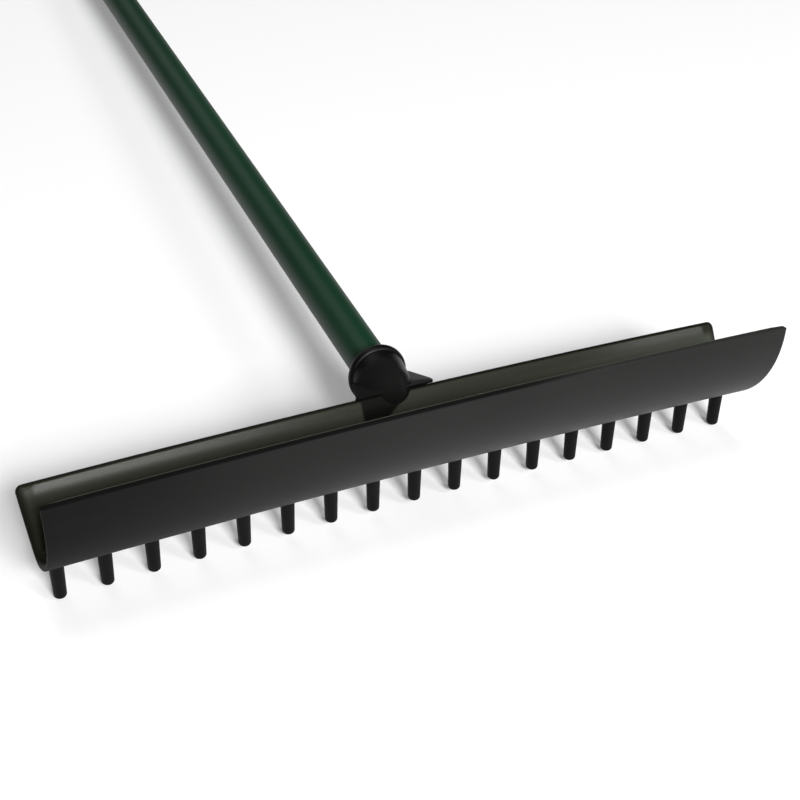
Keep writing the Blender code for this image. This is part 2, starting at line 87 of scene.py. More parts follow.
# Socket
SOCKET_TILT = math.radians(5.33)
SOCKET_HEIGHT = 0.05705       # of its axis above the tips, measured over the row of teeth
MOUTH = 0.0655                # places along the socket's axis, from the row of teeth
SHOULDER = 0.0465
BORE_STOP = 0.0443
NOSE_DEPTH = 0.0190
SHOULDER_RADIUS = 0.0176
MOUTH_RADIUS = 0.0193
MOUTH_ROUND = 0.0006
MOUTH_LEAN = math.radians(11.3)  # the mouth and its bead lean back at the top
BEAD_WIDTH = 0.0048
BEAD_HEIGHT = 0.0019
SADDLE = 0.0040               # thickness
SADDLE_TOP = 0.0520
SADDLE_FOOT = 0.0480
SADDLE_LENGTH = 0.0360
SADDLE_ROUND = 0.0070         # radius of the two lower corners
SADDLE_RISE = 0.0010          # above the edge of the wall, under the wings
SADDLE_SHOULDER = 0.0080      # length of the saddle's upright sides
WING = 0.0024                 # thickness
WING_SLOPE = math.radians(14)  # the wings fall from the edge of the wall to the socket's sides
WING_FRONT = 0.0552           # widths of the pair at the front, at the waist and at the end
WING_WAIST = 0.0416
WING_END = 0.0330
WING_OVERHANG = 0.0012        # past the inner edge of the wall
WING_SHOULDER = 0.0024        # places along the wings, from the inner edge of the wall
WING_WAIST_PLACE = 0.0248
WING_END_PLACE = 0.0290
KEEL = 0.0050                 # thickness
KEEL_REACH = 0.0440

# Screws, with the bosses and the pad that they turn into
SCREW_SPACING = 0.0340
SCREW_DROP = 0.0275           # below the top edge of the back wall, along the wall
SCREW_RADIUS = 0.0020
SCREW_HEAD = 0.0040           # radius
SCREW_HEIGHT = 0.0024         # of the head
SCREW_LENGTH = 0.0140
SCREW_POINT = 0.0020
BOSS_RADIUS = 0.0050
BOSS_DEPTH = 0.0111           # from the outer side of the back wall to the end of the bosses
BOSS_CHAMFER = 0.0006
HANDLE_SCREW = 0.0505         # place along the socket's axis
HANDLE_SCREW_SEAT = 0.0203    # from the socket's axis
HANDLE_SCREW_LENGTH = 0.0110
PAD_ROOT = 0.0173             # from the socket's axis, inside the socket's wall
PAD_CHAMFER = 0.0004

# Handle
HANDLE_RADIUS = 0.0140
HANDLE_WALL = 0.0015
HANDLE_LENGTH = 1.500
CAP_FLANGE = 0.0040
CAP_SPIGOT = 0.0200
CAP_ROUND = 0.0015

# Points along the trough's section and rows along its length
BLADE_STEPS = 56
FLOOR_STEPS = 26
BACK_STEPS = 16
CORNER_STEPS = 10
LIP_STEPS = 6                 # before the round of an edge
LIP_ROUND_STEPS = 9
BEVEL_ROWS = 9
MIDDLE_ROWS = 161
END_ROUND_ROWS = 8

# Points along the profiles and the outlines
TIP_STEPS = 10
SHANK_STEPS = 10
TUBE_STEPS = 60
TUBE_BORE_STEPS = 8
CAP_STEPS = 8
NOSE_STEPS = 24
TAPER_STEPS = 8
BEAD_STEPS = 12
MOUTH_STEPS = 5
SOCKET_BORE_STEPS = 8
SCREW_STEPS = 26
FOOT_STEPS = 10               # round each lower corner of the saddle
OUTLINE_STEPS = 5             # round each corner of a plate's outline
PLATE_EDGE_STEPS = 6

# Facets round the turned pieces
TOOTH_FACETS = 48
TUBE_FACETS = 128
CAP_FACETS = 96
SOCKET_FACETS = 160
BOSS_FACETS = 64
SCREW_FACETS = 96

# Sizes of the scene alone
SCREW_DOME = 0.6              # share of a screw head's height that is domed
RECESS_HALF_WIDTH = 0.00075   # the cross recess, with soft sides and ends
RECESS_SIDE = 0.0003
RECESS_REACH = 0.0024
RECESS_END = 0.0004
RECESS_DEPTH = 0.0013
BEAD_END = math.radians(60)   # the bead's outline stops here, at the flat of the mouth
MOUTH_FACE = 0.0008           # width of the flat ring that keeps the mouth's outer edge sharp
WINGS_CORNER = 0.0012         # rounding of the plates' outlines and of their edges
SADDLE_CORNER = 0.0008
KEEL_CORNER = 0.0004
WEDGE_CORNER = 0.0003
WEDGE_EDGE = 0.0004
CORNER_ZONE = 0.012           # the back wall's corners lie within this of its top edge, along Y
LIP_TRIM = 7                  # points at the back of each skin that its rounded edge replaces
LIP_START = 1.02              # the points before an edge's round start this many radii away
LEAST_ROUND = 2e-5            # keeps the points of a vanishing round apart
SHORTEST = 0.45               # share of a short side that a rounded corner may take
MERGE = 2e-6                  # nearer points become one
SHARP = math.radians(40)      # steeper folds aren't smoothed over

# Worked out from the sizes above
TOOTH_SEAT = TOOTH_REACH + WALL - TOOTH_SEAT_DEPTH + GAP
HANDLE_START = BORE_STOP + GAP
HANDLE_END = HANDLE_START + HANDLE_LENGTH
CAP_END = HANDLE_END + GAP + CAP_FLANGE
LAST_TOOTH = (TOOTH_COUNT - 1) / 2 * TOOTH_PITCH
HALF_LENGTH = LAST_TOOTH + END_MARGIN
FLOOR_CENTRE = np.array([TOOTH_SETBACK, TOOTH_REACH + FLOOR_RADIUS])
BLADE_JOINT = math.radians(270) - FLOOR_FRONT
BLADE_START = BLADE_JOINT - BLADE_SWEEP
FRONT_LINE = np.array([-math.sin(BLADE_START), math.cos(BLADE_START)])
WALL_LINE = np.array([math.cos(BACK_SLOPE), math.sin(BACK_SLOPE)])
INWARD = np.array([-WALL_LINE[1], WALL_LINE[0]])
WING_DOWN = np.array([math.cos(WING_SLOPE), -math.sin(WING_SLOPE)])
WING_UP = np.array([math.sin(WING_SLOPE), math.cos(WING_SLOPE)])


# Placings: from a radius, a turn and a place, or from three places, to points in the head frame

def rested(points):
    """Head frame to ground frame: a turn about X by the resting slope, then a shift."""
    x, y, z = np.moveaxis(np.asarray(points, float), -1, 0)
    c, s = math.cos(REST_TILT), math.sin(REST_TILT)
    shifted = x + REST_PLACE[0], c * y + s * z + REST_PLACE[1], c * z - s * y + REST_PLACE[2]
    return np.stack(shifted, -1)


def along_handle(radius, turn, place):
    """Round the socket's axis, which is the handle's too."""
    c, s = math.cos(SOCKET_TILT), math.sin(SOCKET_TILT)
    side, up = radius * np.sin(turn), radius * np.cos(turn)
    return np.stack([side, place * c - up * s, SOCKET_HEIGHT + place * s + up * c], -1)


def leaning(radius, turn, place):
    """As along the handle, with the mouth and its bead leaning back at the top."""
    share = np.clip((place - SHOULDER) / (MOUTH - SHOULDER), 0, 1)
    return along_handle(radius, turn, place + share * math.tan(MOUTH_LEAN) * radius * np.cos(turn))


def upright_at(across):
    """Round an upright axis at a place along the trough, sunk with the crown."""
    drop = across ** 2 / (2 * CROWN_RADIUS)

    def placed(radius, turn, place):
        return np.stack([across + radius * np.cos(turn), radius * np.sin(turn), place - drop], -1)

    return placed


def frame_at(origin, slope, u0=0.0, v0=0.0, w0=0.0):
    """From an origin in Y and Z: u along X, v up a line of this slope and w square to both."""
    c, s = math.cos(slope), math.sin(slope)

    def placed(u, v, w):
        u, v, w = np.broadcast_arrays(u + u0, v + v0, w + w0)
        return np.stack([u, origin[0] + v * c - w * s, origin[1] + v * s + w * c], -1)

    return placed


def turned_on(placed):
    """Round the third axis of another placing."""
    def put(radius, turn, place):
        return placed(radius * np.sin(turn), radius * np.cos(turn), place)

    return put


def across_middle(u, v, w):
    """For outlines drawn in Y and Z, with their thickness along X."""
    return np.stack(np.broadcast_arrays(w, u, v), -1)


def on_axis(place, below=0.0):
    """The Y and Z of a point so far along the socket's axis and so far below it."""
    c, s = math.cos(SOCKET_TILT), math.sin(SOCKET_TILT)
    return place * c + below * s, SOCKET_HEIGHT + place * s - below * c


# Shapes

def surface(name, points, finish, stands_for, closed_rows=False, capped=False):
    """A grid of points whose columns close on themselves, as one smooth closed mesh.

    Each cell of the grid is a face. Poles and doubled points are merged. A capped grid's two ends
    are closed by faces between the first half of the row and the second, taken backwards.
    """
    rows, columns = points.shape[:2]
    starts = np.arange(rows if closed_rows else rows - 1)
    row, column = np.meshgrid(starts, np.arange(columns), indexing="ij")
    after, beside = (row + 1) % rows, (column + 1) % columns
    faces = np.stack([
        row * columns + column, row * columns + beside,
        after * columns + beside, after * columns + column,
    ], -1).reshape(-1, 4)
    if capped:
        i = np.arange(columns // 2 - 1)
        end = np.stack([i, i + 1, columns - 2 - i, columns - 1 - i], -1)
        faces = np.concatenate([faces, end, end[:, ::-1] + (rows - 1) * columns])
    mesh = bpy.data.meshes.new(name)
    mesh.from_pydata(rested(points).reshape(-1, 3).tolist(), [], faces.tolist())
    shape = bmesh.new()
    shape.from_mesh(mesh)
    bmesh.ops.remove_doubles(shape, verts=shape.verts, dist=MERGE)
    bmesh.ops.recalc_face_normals(shape, faces=shape.faces)
    shape.to_mesh(mesh)
    shape.free()
    mesh.shade_smooth()
    mesh.set_sharp_from_angle(angle=SHARP)
    mesh.materials.append(finish)
    piece = bpy.data.objects.new(name, mesh)
    bpy.context.scene.collection.objects.link(piece)
    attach(piece, "root")
    if stands_for:
        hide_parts(*stands_for)


def turned_points(profile, facets, placed):
    """A profile of radius and place pairs carried round an axis."""
    profile = np.asarray(profile, float)
    turn = np.linspace(0, math.tau, facets, endpoint=False)
    radius, place = profile[:, :1], profile[:, 1:]
    return placed(radius + 0 * turn, turn + 0 * radius, place + 0 * turn)


def arc(centre, radius, start, end, steps):
    """Points at even turns along an arc."""
    turn = np.linspace(start, end, steps + 1)
    return np.asarray(centre) + radius * np.stack([np.cos(turn), np.sin(turn)], -1)


def skin(offset):
    """One side of the trough's section, so far inside the outer skin, from the front lip back.

    An arc for the front wall, a tighter one for the floor and a straight line for the back wall,
    each tangent to the next.
    """
    joint = np.array([math.cos(BLADE_JOINT), math.sin(BLADE_JOINT)])
    blade_centre = FLOOR_CENTRE - (BLADE_RADIUS - FLOOR_RADIUS) * joint
    blade = arc(blade_centre, BLADE_RADIUS - offset, BLADE_START, BLADE_JOINT, BLADE_STEPS)
    floor_end = math.radians(270) + BACK_SLOPE
    floor = arc(FLOOR_CENTRE, FLOOR_RADIUS - offset, BLADE_JOINT, floor_end, FLOOR_STEPS)
    up = np.linspace(0, BACK_FLAT - CORNER, BACK_STEPS)[1:]
    turn = np.linspace(0, math.pi / 2, CORNER_STEPS)[1:]
    corner = BACK_FLAT - CORNER + CORNER * np.sin(turn)
    back = floor[-1] + np.concatenate([up, corner])[:, None] * WALL_LINE
    return np.concatenate([blade, floor[1:], back])


BACK_EDGE = skin(0.0)[-1]


def lip(outer, inner, near, far, start):
    """The rounded edge between the two sides at one end of the section.

    A straight from the start to a quarter round of the near radius on the outer side, and the same
    with the far radius on the inner side; the flat of the edge lies between them.
    """
    across = (inner[0] - outer[0]) / np.linalg.norm(inner[0] - outer[0])
    along = (outer[1] - outer[0]) / np.linalg.norm(outer[1] - outer[0])
    turn = np.linspace(0, math.pi / 2, LIP_ROUND_STEPS)[:, None]

    def side(edge, radius, towards):
        lead = edge + np.linspace(start, radius, LIP_STEPS)[:-1, None] * along
        quarter = (1 - np.cos(turn)) * towards + (1 - np.sin(turn)) * along
        return np.concatenate([lead, edge + radius * quarter])

    return side(outer[0], near, across), side(inner[0], far, -across)


def trough_row(share, turn):
    """The closed loop of the section at a share of the half length.

    The wall thins by a shallow bevel towards the ends. A turn from 0 to a quarter draws both skins
    in by their rounds, for the rounded edges of the end faces. Each skin's place along the head
    follows its own round. The half length grows to the back and to the top, the back wall's upper
    corners are round and the whole loop sinks with the crown.
    """
    out, reach = 1 - math.cos(turn), 1 - math.sin(turn)
    bevel = BEVEL_DEPTH * max(0.0, 1 - (1 - abs(share)) * HALF_LENGTH / BEVEL_LENGTH)
    outer, inner = skin(RIM * out), skin(WALL - bevel - INNER_ROUND * out)
    small, large = max(RIM * reach, LEAST_ROUND), max(INNER_ROUND * reach, LEAST_ROUND)
    ahead, behind = RIM * out * FRONT_LINE, RIM * out * WALL_LINE
    front = lip(outer + ahead, inner + ahead, small, small, LIP_START * RIM)
    back = lip(outer[::-1] - behind, inner[::-1] - behind, small, large, LIP_START * INNER_ROUND)
    near = np.concatenate([front[0][::-1], outer[1:-LIP_TRIM], back[0]])
    far = np.concatenate([back[1][::-1], inner[1:-LIP_TRIM][::-1], front[1]])
    loop = np.concatenate([near, far])
    y, z = loop.T
    down = np.clip((BACK_EDGE - loop) @ WALL_LINE, 0, CORNER)
    round_off = CORNER - np.sqrt(CORNER ** 2 - (CORNER - down) ** 2)
    cut = np.where(y > BACK_EDGE[0] - CORNER_ZONE, round_off, 0.0)
    inset = np.concatenate([np.full(len(near), RIM), np.full(len(far), INNER_ROUND)]) * reach
    half = HALF_LENGTH + SLANT_BACK * y + SLANT_UP * (z - SOCKET_HEIGHT) - inset - cut
    return np.stack([share * half, y, z - (share * HALF_LENGTH) ** 2 / (2 * CROWN_RADIUS)], -1)


def trough_points():
    """The section carried along the head, with close rows where the wall thins and at the ends."""
    ends = np.linspace(1 - BEVEL_LENGTH / HALF_LENGTH, 1, BEVEL_ROWS)
    middle = np.linspace(-ends[0], ends[0], MIDDLE_ROWS)[1:-1]
    shares = np.concatenate([-ends[::-1], middle, ends])
    turns = np.linspace(0, math.pi / 2, END_ROUND_ROWS)[1:]
    rows = [trough_row(-1.0, turn) for turn in turns[::-1]]
    rows += [trough_row(share, 0.0) for share in shares]
    return np.stack(rows + [trough_row(1.0, turn) for turn in turns])


def tooth_profile():
    """A round tip, a straight taper up to the trough and a flat head with a small chamfer."""
    tip = arc((0.0, 0.0), 1.0, math.radians(-90), 0.0, TIP_STEPS)
    tip = tip * (TOOTH_TIP_RADIUS, TOOTH_TIP_DEPTH) + (0.0, TOOTH_TIP_DEPTH)
    shank = np.linspace(tip[-1], (TOOTH_ROOT_RADIUS, TOOTH_REACH), SHANK_STEPS)
    top = TOOTH_SEAT + TOOTH_HEAD_HEIGHT
    head = [
        (TOOTH_ROOT_RADIUS, TOOTH_SEAT),
        (TOOTH_HEAD_RADIUS, TOOTH_SEAT),
        (TOOTH_HEAD_RADIUS, top - TOOTH_HEAD_CHAMFER),
        (TOOTH_HEAD_RADIUS - TOOTH_HEAD_CHAMFER, top),
        (0.0, top),
    ]
    return np.concatenate([tip, shank[1:], head])


def tube_profile():
    """The wall of the handle's tube as a closed loop."""
    inner = HANDLE_RADIUS - HANDLE_WALL
    out = np.linspace((HANDLE_RADIUS, HANDLE_START), (HANDLE_RADIUS, HANDLE_END), TUBE_STEPS)
    back = np.linspace((inner, HANDLE_END), (inner, HANDLE_START), TUBE_BORE_STEPS)
    return np.concatenate([out, back])


def cap_profile():
    """The spigot in the tube, the flange and its rounded edge."""
    spigot, start = HANDLE_RADIUS - HANDLE_WALL - GAP, HANDLE_END + GAP
    inside = [
        (0.0, HANDLE_END - CAP_SPIGOT),
        (spigot, HANDLE_END - CAP_SPIGOT),
        (spigot, start),
        (HANDLE_RADIUS, start),
    ]
    centre = (HANDLE_RADIUS - CAP_ROUND, CAP_END - CAP_ROUND)
    edge = arc(centre, CAP_ROUND, 0.0, math.radians(90), CAP_STEPS)
    return np.concatenate([inside, edge, [(0.0, CAP_END)]])


def rounded(corners, radius):
    """A closed outline with every corner replaced by a curve from one side to the next.

    Each curve is the quadratic through the two points at the radius from the corner, with the
    corner as its control point. On a side that is too short for that, a curve starts within
    SHORTEST of its length.
    """
    corners = np.asarray(corners, float)
    before, after = np.roll(corners, 1, 0) - corners, np.roll(corners, -1, 0) - corners
    near, far = np.linalg.norm(before, axis=1), np.linalg.norm(after, axis=1)
    start = corners + before * (np.minimum(radius, SHORTEST * near) / near)[:, None]
    end = corners + after * (np.minimum(radius, SHORTEST * far) / far)[:, None]
    t = np.linspace(0, 1, OUTLINE_STEPS + 1)[None, :, None]
    bent = 2 * t * (1 - t) * corners[:, None]
    curve = (1 - t) ** 2 * start[:, None] + bent + t ** 2 * end[:, None]
    return curve.reshape(-1, 2)


def plate_points(outline, thickness, edge, placed):
    """A flat plate with rounded edges: its outline drawn in and moved across the thickness.

    The outline is drawn in square to itself by the edge's quarter round at both faces, and the last
    row at each face shrinks to the outline's middle.
    """
    side = np.roll(outline, -1, 0) - np.roll(outline, 1, 0)
    inward = np.stack([-side[:, 1], side[:, 0]], -1) / np.linalg.norm(side, axis=1)[:, None]
    middle = outline.mean(0)
    spoke, after = outline - middle, np.roll(outline, -1, 0) - middle
    area = (spoke[:, 0] * after[:, 1] - spoke[:, 1] * after[:, 0]).sum()
    inward = inward * np.sign(area)
    turn = np.linspace(0, math.pi / 2, PLATE_EDGE_STEPS)
    level, drawn = thickness / 2 - edge * (1 - np.sin(turn)), edge * (1 - np.cos(turn))
    level = np.concatenate([[thickness / 2], level[::-1], -level, [-thickness / 2]])
    drawn = np.concatenate([[edge], drawn[::-1], drawn, [edge]])
    loops = outline + drawn[:, None, None] * inward
    loops[[0, -1]] = middle
    return placed(loops[..., 0], loops[..., 1], level[:, None])


def mirrored(right):
    """An outline from the corners of its right half, from bottom to top."""
    return list(right) + [(-u, v) for u, v in right[::-1]]


def body_profile():
    """Half of the socket's section: domed nose, taper, bead, mouth with a small round, and bore."""
    bore = HANDLE_RADIUS + GAP
    dome = arc((0.0, 0.0), 1.0, math.radians(-90), 0.0, NOSE_STEPS)
    dome = dome * (SHOULDER_RADIUS, NOSE_DEPTH) + (0.0, SHOULDER)
    taper = np.linspace(dome[-1], (MOUTH_RADIUS, MOUTH - BEAD_WIDTH), TAPER_STEPS)[1:]
    bead = arc((0.0, 0.0), 1.0, math.radians(-90), BEAD_END, BEAD_STEPS)[1:]
    bead = bead * (BEAD_HEIGHT, BEAD_WIDTH / 2) + (MOUTH_RADIUS, MOUTH - BEAD_WIDTH / 2)
    face = [(MOUTH_RADIUS, MOUTH), (MOUTH_RADIUS - MOUTH_FACE, MOUTH)]
    centre = (bore + MOUTH_ROUND, MOUTH - MOUTH_ROUND)
    rim = arc(centre, MOUTH_ROUND, math.radians(90), math.radians(180), MOUTH_STEPS)
    inside = np.linspace((bore, MOUTH - 2 * MOUTH_ROUND), (bore, BORE_STOP), SOCKET_BORE_STEPS)
    return np.concatenate([dome, taper, bead, face, rim, inside, [(0.0, BORE_STOP)]])


def screw_points(placed, length):
    """A pan head with a cross recess, a straight shank and a point.

    The recess is a smooth dip whose depth falls to nothing past the ends and the sides of two bars.
    """
    dome = arc((0.0, 0.0), 1.0, math.radians(90), 0.0, SCREW_STEPS)
    dome = dome * (SCREW_HEAD, SCREW_DOME * SCREW_HEIGHT) + (0.0, (1 - SCREW_DOME) * SCREW_HEIGHT)
    shank = [
        (SCREW_HEAD, 0.0),
        (SCREW_RADIUS, 0.0),
        (SCREW_RADIUS, SCREW_POINT - length),
        (0.0, -length),
    ]

    def recessed(radius, turn, place):
        across = np.minimum(np.abs(radius * np.sin(turn)), np.abs(radius * np.cos(turn)))
        bar = np.clip((RECESS_HALF_WIDTH - across) / RECESS_SIDE, 0, 1)
        bar = bar * np.clip((RECESS_REACH - radius) / RECESS_END, 0, 1)
        dip = np.where(place > 0.0, RECESS_DEPTH * bar * bar * (3 - 2 * bar), 0.0)
        return turned_on(placed)(radius, turn, place - dip)

    return turned_points(np.concatenate([dome, shank]), SCREW_FACETS, recessed)


# Finishes: colours, in pairs for the two ends of a change
TOOTH_BLACKS = (0.003, 0.003, 0.003), (0.005, 0.005, 0.005)
SOCKET_BLACKS = (0.001, 0.001, 0.0009), (0.003, 0.003, 0.0027)
# The blade's pair runs from its colour darkened by painted shade at the left to its lit colour
BLADE_CHARCOALS = (0.001, 0.001, 0.0009), (0.014, 0.014, 0.0135)
# Painted light on the top of the front lip's right half
LIT_LIP_CHARCOAL = (0.026, 0.026, 0.0245)
WALL_OLIVES = (0.0095, 0.0105, 0.0030), (0.014, 0.0155, 0.0050)
# A painted sheen on the lower inner wall, lighter to the right
FOOT_SHEEN_OLIVES = (0.024, 0.026, 0.014), (0.060, 0.066, 0.048)
# Painted shade and shadow, near black
SHADE_BLACK = (0.002, 0.002, 0.0018)
# A painted highlight line along the front lip's inner rim
RIM_HIGHLIGHT_GREY = (0.080, 0.082, 0.064)
HANDLE_GREENS = (0.0040, 0.027, 0.0120), (0.0055, 0.033, 0.0150)
ZINC_GREYS = (0.38, 0.38, 0.37), (0.55, 0.55, 0.53)

# Zones in the ground frame, each from where it begins to where it is full
BEAD_ZONE = -0.700, -0.693    # of the socket, along Y
SHINY_SIDE = 0.002, 0.010     # of the socket, along X
INNER_SIDE = -0.768, -0.750   # of the trough, along Y
LIGHT_LIP = 0.035, 0.115      # along X
LIGHT_BLADE = -0.27, 0.02
LIGHT_FOOT = -0.04, 0.22
DULL_WALL = -0.04, 0.06
SHINY_WALL = 0.12, 0.20
# Edges of the painted shadow round the socket's nose, on the inner wall
NOSE_LEFT = -0.027, -0.0245
NOSE_RIGHT = 0.011, 0.015     # at the wall's top edge, and leaning to the left below it
NOSE_SLANT = 1.38
# Painted shade at both ends of the inner wall
END_SHADE_STRIPS = 0.0607, 0.0632   # along X squared, for both ends

# Depths below one of the planes, each from where it begins to where it is full
WALL_BELOW_EDGE = 0.0008, 0.0026
WALL_SCOUR_AND_SHEEN = 0.006, 0.012
WALL_BELOW_FOOT = 0.016, 0.032
LIP_TOP = 0.0, 0.0004
LIP_BELOW_EDGE = 0.0004, 0.0010
LIP_BELOW_RIM = 0.0008, 0.0014
LIP_PAST_RIM = 0.0008, 0.0012

# Planes along the trough in the ground frame: by Y, by Z, by X squared for the crown, and place
WALL_TOP_PLANE = (0.6913, 0.7226, 0.0415, -0.4490)
LIP_TOP_PLANE = (0.1794, 0.9838, 0.0565, -0.02949)
LIP_BACK_PLANE = (0.9838, -0.1794, -0.0033, -0.7973)


class Value:
    """An output of a node in a tree; arithmetic on it adds Math nodes."""

    def __init__(self, tree, socket):
        self.tree, self.socket = tree, socket

    def output(self, key):
        """Another output of the same node."""
        return Value(self.tree, self.socket.node.outputs[key])

    def __add__(self, other):
        return self.tree.maths("ADD", self, other)

    def __sub__(self, other):
        return self.tree.maths("SUBTRACT", self, other)

    def __mul__(self, other):
        return self.tree.maths("MULTIPLY", self, other)

    def __rsub__(self, other):
        return self.tree.maths("SUBTRACT", other, self)

    __radd__, __rmul__ = __add__, __mul__

    def ramp(self, low, high):
        """From 0 at low to 1 at high, smoothly."""
        sockets = {"Value": self, "From Min": low, "From Max": high, "To Min": 0.0, "To Max": 1.0}
        return self.tree.new("ShaderNodeMapRange", {"interpolation_type": "SMOOTHSTEP"}, sockets)


class Tree:
    """The nodes of a material or of the world, with one method for every kind of node."""

    def __init__(self, owner):
        owner.use_nodes = True
        self.nodes, self.links = owner.node_tree.nodes, owner.node_tree.links

    def new(self, kind, settings, sockets):
        """The first output of a new node, with its settings and its sockets' values or links.

        Sockets go by name or, where a name comes twice, by number.
        """
        node = self.nodes.new(kind)
        for key, value in settings.items():
            setattr(node, key, value)
        for key, value in sockets.items():
            if isinstance(value, Value):
                self.links.new(value.socket, node.inputs[key])
            else:
                node.inputs[key].default_value = value
        return Value(self, node.outputs[0])

    def maths(self, operation, first, second):
        """A Math node on two values or numbers."""
        return self.new("ShaderNodeMath", {"operation": operation}, {0: first, 1: second})


def opaque(colour):
    """A colour with its fourth number, or the value that gives a colour."""
    return colour if isinstance(colour, Value) else (*colour[:3], 1.0)


class Finish(Tree):
    """A material under construction."""

    def __init__(self, name, constants):
        self.material = bpy.data.materials.new(name)
        super().__init__(self.material)
        self.shader = self.nodes["Principled BSDF"]
        for key, value in constants.items():
            self.shader.inputs[key].default_value = value
        self.place = self.new("ShaderNodeTexCoord", {}, {}).output("Object")

    def axes(self):
        """The three object coordinates."""
        made = self.new("ShaderNodeSeparateXYZ", {}, {0: self.place})
        return [made.output(axis) for axis in "XYZ"]

    def noise(self, scale, detail=2.0, roughness=0.5, place=None):
        """Soft noise from 0 to 1, of a scale in turns per metre."""
        sockets = {"Scale": scale, "Detail": detail, "Roughness": roughness}
        return self.new("ShaderNodeTexNoise", {}, {"Vector": place or self.place, **sockets})

    def stretched(self, x, y, z):
        """Object coordinates with each axis scaled."""
        return self.new("ShaderNodeMapping", {}, {"Vector": self.place, "Scale": (x, y, z)})

    def mix(self, share, first, second):
        """A colour between two, by a share."""
        sockets = {0: share, 6: opaque(first), 7: opaque(second)}
        return self.new("ShaderNodeMix", {"data_type": "RGBA"}, sockets).output(2)

    def set(self, name, value):
        """Link a value to one of the shader's sockets."""
        self.links.new(value.socket, self.shader.inputs[name])

    def bump(self, height, distance, strength):
        """A relief of a height in metres, on the shader's normal."""
        sockets = {"Strength": strength, "Distance": distance, "Height": height}
        self.set("Normal", self.new("ShaderNodeBump", {}, sockets))


def plastic(name, roughness, gloss):
    """Satin moulded plastic without its colour: a fine leathery grain and faint handling marks.

    The finish also carries a slow change of tone, from 0 to 1, and the satin's roughness.
    """
    made = Finish(name, {"Specular IOR Level": gloss})
    fine = made.noise(1400.0)
    marks = made.noise(60.0, 4.0, 0.6, made.stretched(0.25, 1.0, 1.0))
    made.tone = (made.noise(9.0, 3.0) * 0.6 + marks * 0.4).ramp(0.3, 0.7)
    made.satin = roughness - 0.05 + marks * 0.07 + fine * 0.06
    made.bump(fine * 0.7 + made.noise(420.0) * 0.5, 0.00010, 0.55)
    return made


def tooth_plastic():
    """Black plastic, satin all over."""
    made = plastic("tooth_plastic", 0.50, 0.08)
    made.set("Base Color", made.mix(made.tone, *TOOTH_BLACKS))
    made.set("Roughness", made.satin)
    return made.material


def socket_plastic():
    """Black plastic: satin on the bead and the right side, dull elsewhere, where sand wears it."""
    made = plastic("socket_plastic", 0.40, 0.18)
    x, y, _ = made.axes()
    worn = (1.0 - y.ramp(*BEAD_ZONE)) * (1.0 - x.ramp(*SHINY_SIDE))
    made.set("Base Color", made.mix(made.tone, *SOCKET_BLACKS))
    made.set("Roughness", made.satin + worn * 0.50)
    return made.material


